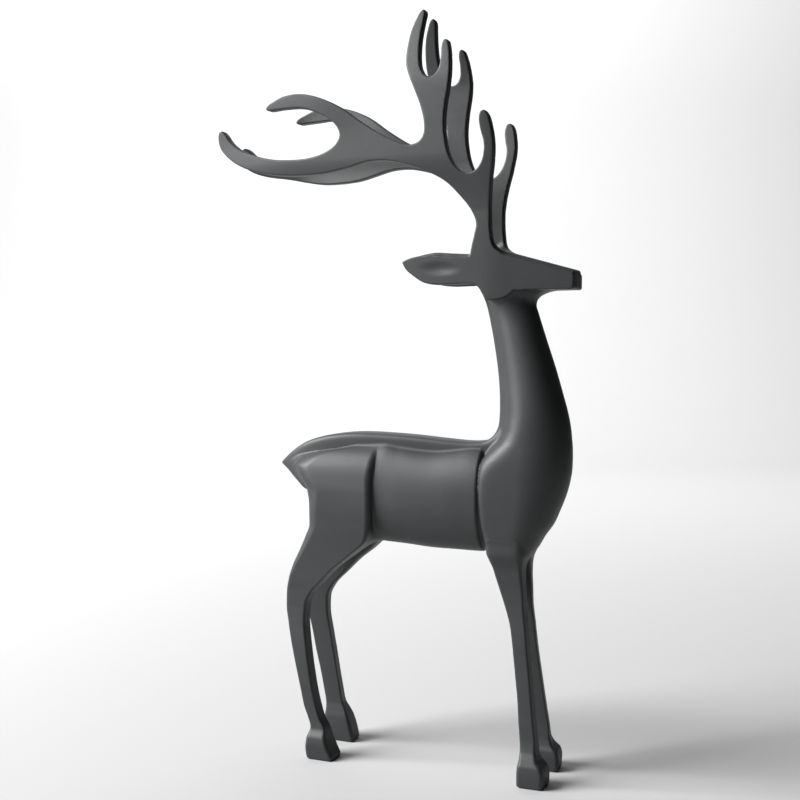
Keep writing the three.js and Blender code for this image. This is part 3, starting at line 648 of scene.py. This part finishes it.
def by_height(points, work):
    """Runs work on points in slices of like height, so parts far from a slice are skipped."""
    order = np.argsort(points[:, 2], kind="stable")
    result = None
    for part in np.array_split(order, max(1, len(order) // SLICE_POINTS)):
        value = work(points[part])
        if result is None:
            result = np.empty((len(points),) + value.shape[1:])
        result[part] = value
    return result


def field_and_slope(p, step=0.35):
    """The field at some points, and how steeply it rises along each axis."""
    value = stag_field(p[:, 0], p[:, 1], p[:, 2])
    slope = np.empty((len(p), 3))
    for axis in range(3):
        ahead, behind = p.copy(), p.copy()
        ahead[:, axis] += step
        behind[:, axis] -= step
        slope[:, axis] = (stag_field(*ahead.T) - stag_field(*behind.T)) / (2 * step)
    return np.column_stack([value, slope])


def settle(points, rounds=2, reach=0.45):
    """Moves each point onto the surface along the field's slope, by a small step at most."""
    for _ in range(rounds):
        found = by_height(points, field_and_slope)
        slope = found[:, 1:]
        step = found[:, :1] * slope / np.maximum((slope ** 2).sum(1, keepdims=True), 0.05)
        length = np.linalg.norm(step, axis=1, keepdims=True)
        points = points - step * np.minimum(1, reach / np.maximum(length, 1e-9))
    return points


def corner_normals(mesh, points, normal):
    """Normals for the corners of the triangles; a long triangle that ends on a rounding stays flat there."""
    corner = np.empty(len(mesh.loops), int)
    mesh.loops.foreach_get("vertex_index", corner)
    corner = corner.reshape(-1, 3)
    a, b, c = (points[corner[:, i]] for i in range(3))
    flat = np.cross(b - a, c - a)
    flat /= np.maximum(np.linalg.norm(flat, axis=1, keepdims=True), 1e-9)
    longest = np.max([np.linalg.norm(b - a, axis=1), np.linalg.norm(c - b, axis=1),
                      np.linalg.norm(a - c, axis=1)], axis=0)
    found = normal[corner]
    turned = (found * flat[:, None]).sum(2) < math.cos(math.radians(LONG_TURN))
    found = np.where((turned & (longest > LONG_EDGE)[:, None])[..., None], flat[:, None], found)
    return found.reshape(-1, 3)


def carve_stag(material):
    """The whole casting as one mesh, laid on the field and then thinned on its flat places."""
    count = [int(round((high - low) / FINE)) + 1 for low, high in zip(CARVE_LOW, CARVE_HIGH)]
    points, quads = net_surface(sample_field(CARVE_LOW, count), CARVE_LOW)
    points = settle(points)
    mesh = bpy.data.meshes.new("stag_casting")
    mesh.vertices.add(len(points))
    mesh.vertices.foreach_set("co", (points * MM).ravel())
    mesh.loops.add(4 * len(quads))
    mesh.loops.foreach_set("vertex_index", quads.ravel())
    mesh.polygons.add(len(quads))
    mesh.polygons.foreach_set("loop_start", 4 * np.arange(len(quads)))
    mesh.update(calc_edges=True)
    mesh.validate()
    rough = bpy.data.objects.new("rough_casting", mesh)
    bpy.context.scene.collection.objects.link(rough)
    thin = rough.modifiers.new("thin", "DECIMATE")
    thin.ratio = min(1.0, FACE_BUDGET / (2 * len(quads)))
    thin.use_collapse_triangulate = True
    graph = bpy.context.evaluated_depsgraph_get()
    finished = bpy.data.meshes.new_from_object(rough.evaluated_get(graph))
    bpy.data.objects.remove(rough)
    bpy.data.meshes.remove(mesh)
    finished.name = "stag_casting"
    co = np.empty(3 * len(finished.vertices))
    finished.vertices.foreach_get("co", co)
    co = settle(co.reshape(-1, 3) / MM, rounds=1, reach=0.2)
    co[np.abs(co[:, 2]) < SOLE_REACH, 2] = 0
    finished.vertices.foreach_set("co", (co * MM).ravel())
    finished.update()
    finished.polygons.foreach_set("use_smooth", np.ones(len(finished.polygons), bool))
    slope = by_height(co, field_and_slope)[:, 1:]
    normal = slope / np.maximum(np.linalg.norm(slope, axis=1, keepdims=True), 1e-9)
    finished.normals_split_custom_set(corner_normals(finished, co, normal).tolist())
    finished.materials.clear()
    finished.materials.append(material)
    stag = bpy.data.objects.new("stag_casting", finished)
    bpy.context.scene.collection.objects.link(stag)
    return stag


def coated_iron():
    """Matte anthracite coat over sand-cast iron: a fine grain and a little mottling."""
    material = bpy.data.materials.new("coated_iron")
    material.use_nodes = True
    nodes, links = material.node_tree.nodes, material.node_tree.links
    shader = nodes["Principled BSDF"]
    shader.inputs["Metallic"].default_value = 0.0
    shader.inputs["Specular IOR Level"].default_value = 0.5
    place = nodes.new("ShaderNodeTexCoord")

    def noise(scale, detail):
        texture = nodes.new("ShaderNodeTexNoise")
        texture.inputs["Scale"].default_value = scale
        texture.inputs["Detail"].default_value = detail
        links.new(place.outputs["Object"], texture.inputs["Vector"])
        return texture.outputs["Fac"]

    def ramp_between(source, low, high, first, second):
        spread = nodes.new("ShaderNodeMapRange")
        spread.inputs["From Min"].default_value = low
        spread.inputs["From Max"].default_value = high
        spread.inputs["To Min"].default_value = first
        spread.inputs["To Max"].default_value = second
        links.new(source, spread.inputs["Value"])
        return spread.outputs["Result"]

    mottle = noise(scale=22, detail=4)
    grain = noise(scale=1500, detail=3)
    coat = nodes.new("ShaderNodeMix")
    coat.data_type = "RGBA"
    coat.inputs["A"].default_value = (*COAT_DARK, 1)
    coat.inputs["B"].default_value = (*COAT_PALE, 1)
    links.new(ramp_between(mottle, *MOTTLE, 0, 1), coat.inputs["Factor"])
    links.new(coat.outputs["Result"], shader.inputs["Base Color"])
    least, most = COAT_ROUGHNESS - ROUGHNESS_SPREAD, COAT_ROUGHNESS + ROUGHNESS_SPREAD
    links.new(ramp_between(mottle, *MOTTLE, least, most), shader.inputs["Roughness"])
    relief = nodes.new("ShaderNodeBump")
    relief.inputs["Strength"].default_value = GRAIN_STRENGTH
    relief.inputs["Distance"].default_value = GRAIN_DEPTH
    links.new(grain, relief.inputs["Height"])
    links.new(relief.outputs["Normal"], shader.inputs["Normal"])
    return material


def plain_material(name, colour, roughness):
    """One colour all over, with no grain."""
    material = bpy.data.materials.new(name)
    material.use_nodes = True
    shader = material.node_tree.nodes["Principled BSDF"]
    shader.inputs["Base Color"].default_value = (*colour, 1)
    shader.inputs["Roughness"].default_value = roughness
    return material


def studio_sweep():
    """A pale floor that curves up into a wall behind the statue, so no horizon shows."""
    away = Vector((-0.3746, 0.9272))    # the way the camera looks, seen from above
    side = Vector((away.y, -away.x))
    left, right, near, far, height, bend = -4.0, 1.9, -3.0, 2.2, 4.0, 1.2
    outline = [(near, 0.0)]
    steps = 16
    for i in range(steps + 1):
        turn = math.pi / 2 * i / steps
        outline.append((far + bend * math.sin(turn), bend - bend * math.cos(turn)))
    outline.append((far + bend, height))
    corners = []
    for along, up in outline:
        for across in (left, right):
            corners.append((*(away * along + side * across), up))
    faces = [(2 * i, 2 * i + 1, 2 * i + 3, 2 * i + 2) for i in range(len(outline) - 1)]
    mesh = bpy.data.meshes.new("studio_sweep")
    mesh.from_pydata(corners, [], faces)
    mesh.polygons.foreach_set("use_smooth", [True] * len(faces))
    mesh.materials.append(plain_material("pale_paper", PAPER, PAPER_ROUGHNESS))
    sweep = bpy.data.objects.new("studio_sweep", mesh)
    bpy.context.scene.collection.objects.link(sweep)


def soft_box(name, place, target, size, power):
    """A rectangular area light that faces its target."""
    light = bpy.data.lights.new(name, "AREA")
    light.shape = "RECTANGLE"
    light.size, light.size_y = size
    light.energy = power
    lamp = bpy.data.objects.new(name, light)
    lamp.location = place
    lamp.rotation_euler = (Vector(target) - Vector(place)).to_track_quat("-Z", "Y").to_euler()
    bpy.context.scene.collection.objects.link(lamp)


def light_studio():
    """A soft key from the upper left, a light for the wall and a faint fill from all round."""
    world = bpy.data.worlds.new("studio")
    world.use_nodes = True
    fill = world.node_tree.nodes["Background"]
    fill.inputs["Strength"].default_value = WORLD_FILL
    bpy.context.scene.world = world
    soft_box("key_upper_left", place=(-2.25, -1.3, 1.95), target=(0, 0, 0.3), size=(1.8, 1.8), power=290)
    soft_box("wall_light", place=(-0.6, 1.3, 2.5), target=(-1.0, 3.3, 0.8), size=(3.2, 0.8), power=145)
    bpy.context.scene.view_settings.view_transform = "Standard"


def photo_camera():
    """The camera that took the photo, as far as its perspective tells."""
    place = Vector((0.36767, -0.90332, 0.34464))
    target = Vector((0.0027, 0.0, 0.29358))
    camera = bpy.data.cameras.new("photo_camera")
    camera.sensor_width = 36.0
    camera.lens = 54.225
    camera.clip_start = 0.01
    holder = bpy.data.objects.new("photo_camera", camera)
    holder.location = place
    holder.rotation_euler = (target - place).to_track_quat("-Z", "Y").to_euler()
    bpy.context.scene.collection.objects.link(holder)
    bpy.context.scene.camera = holder


photo_camera()
stag = carve_stag(coated_iron())
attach(stag, "root")
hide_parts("stag")
studio_sweep()
light_studio()
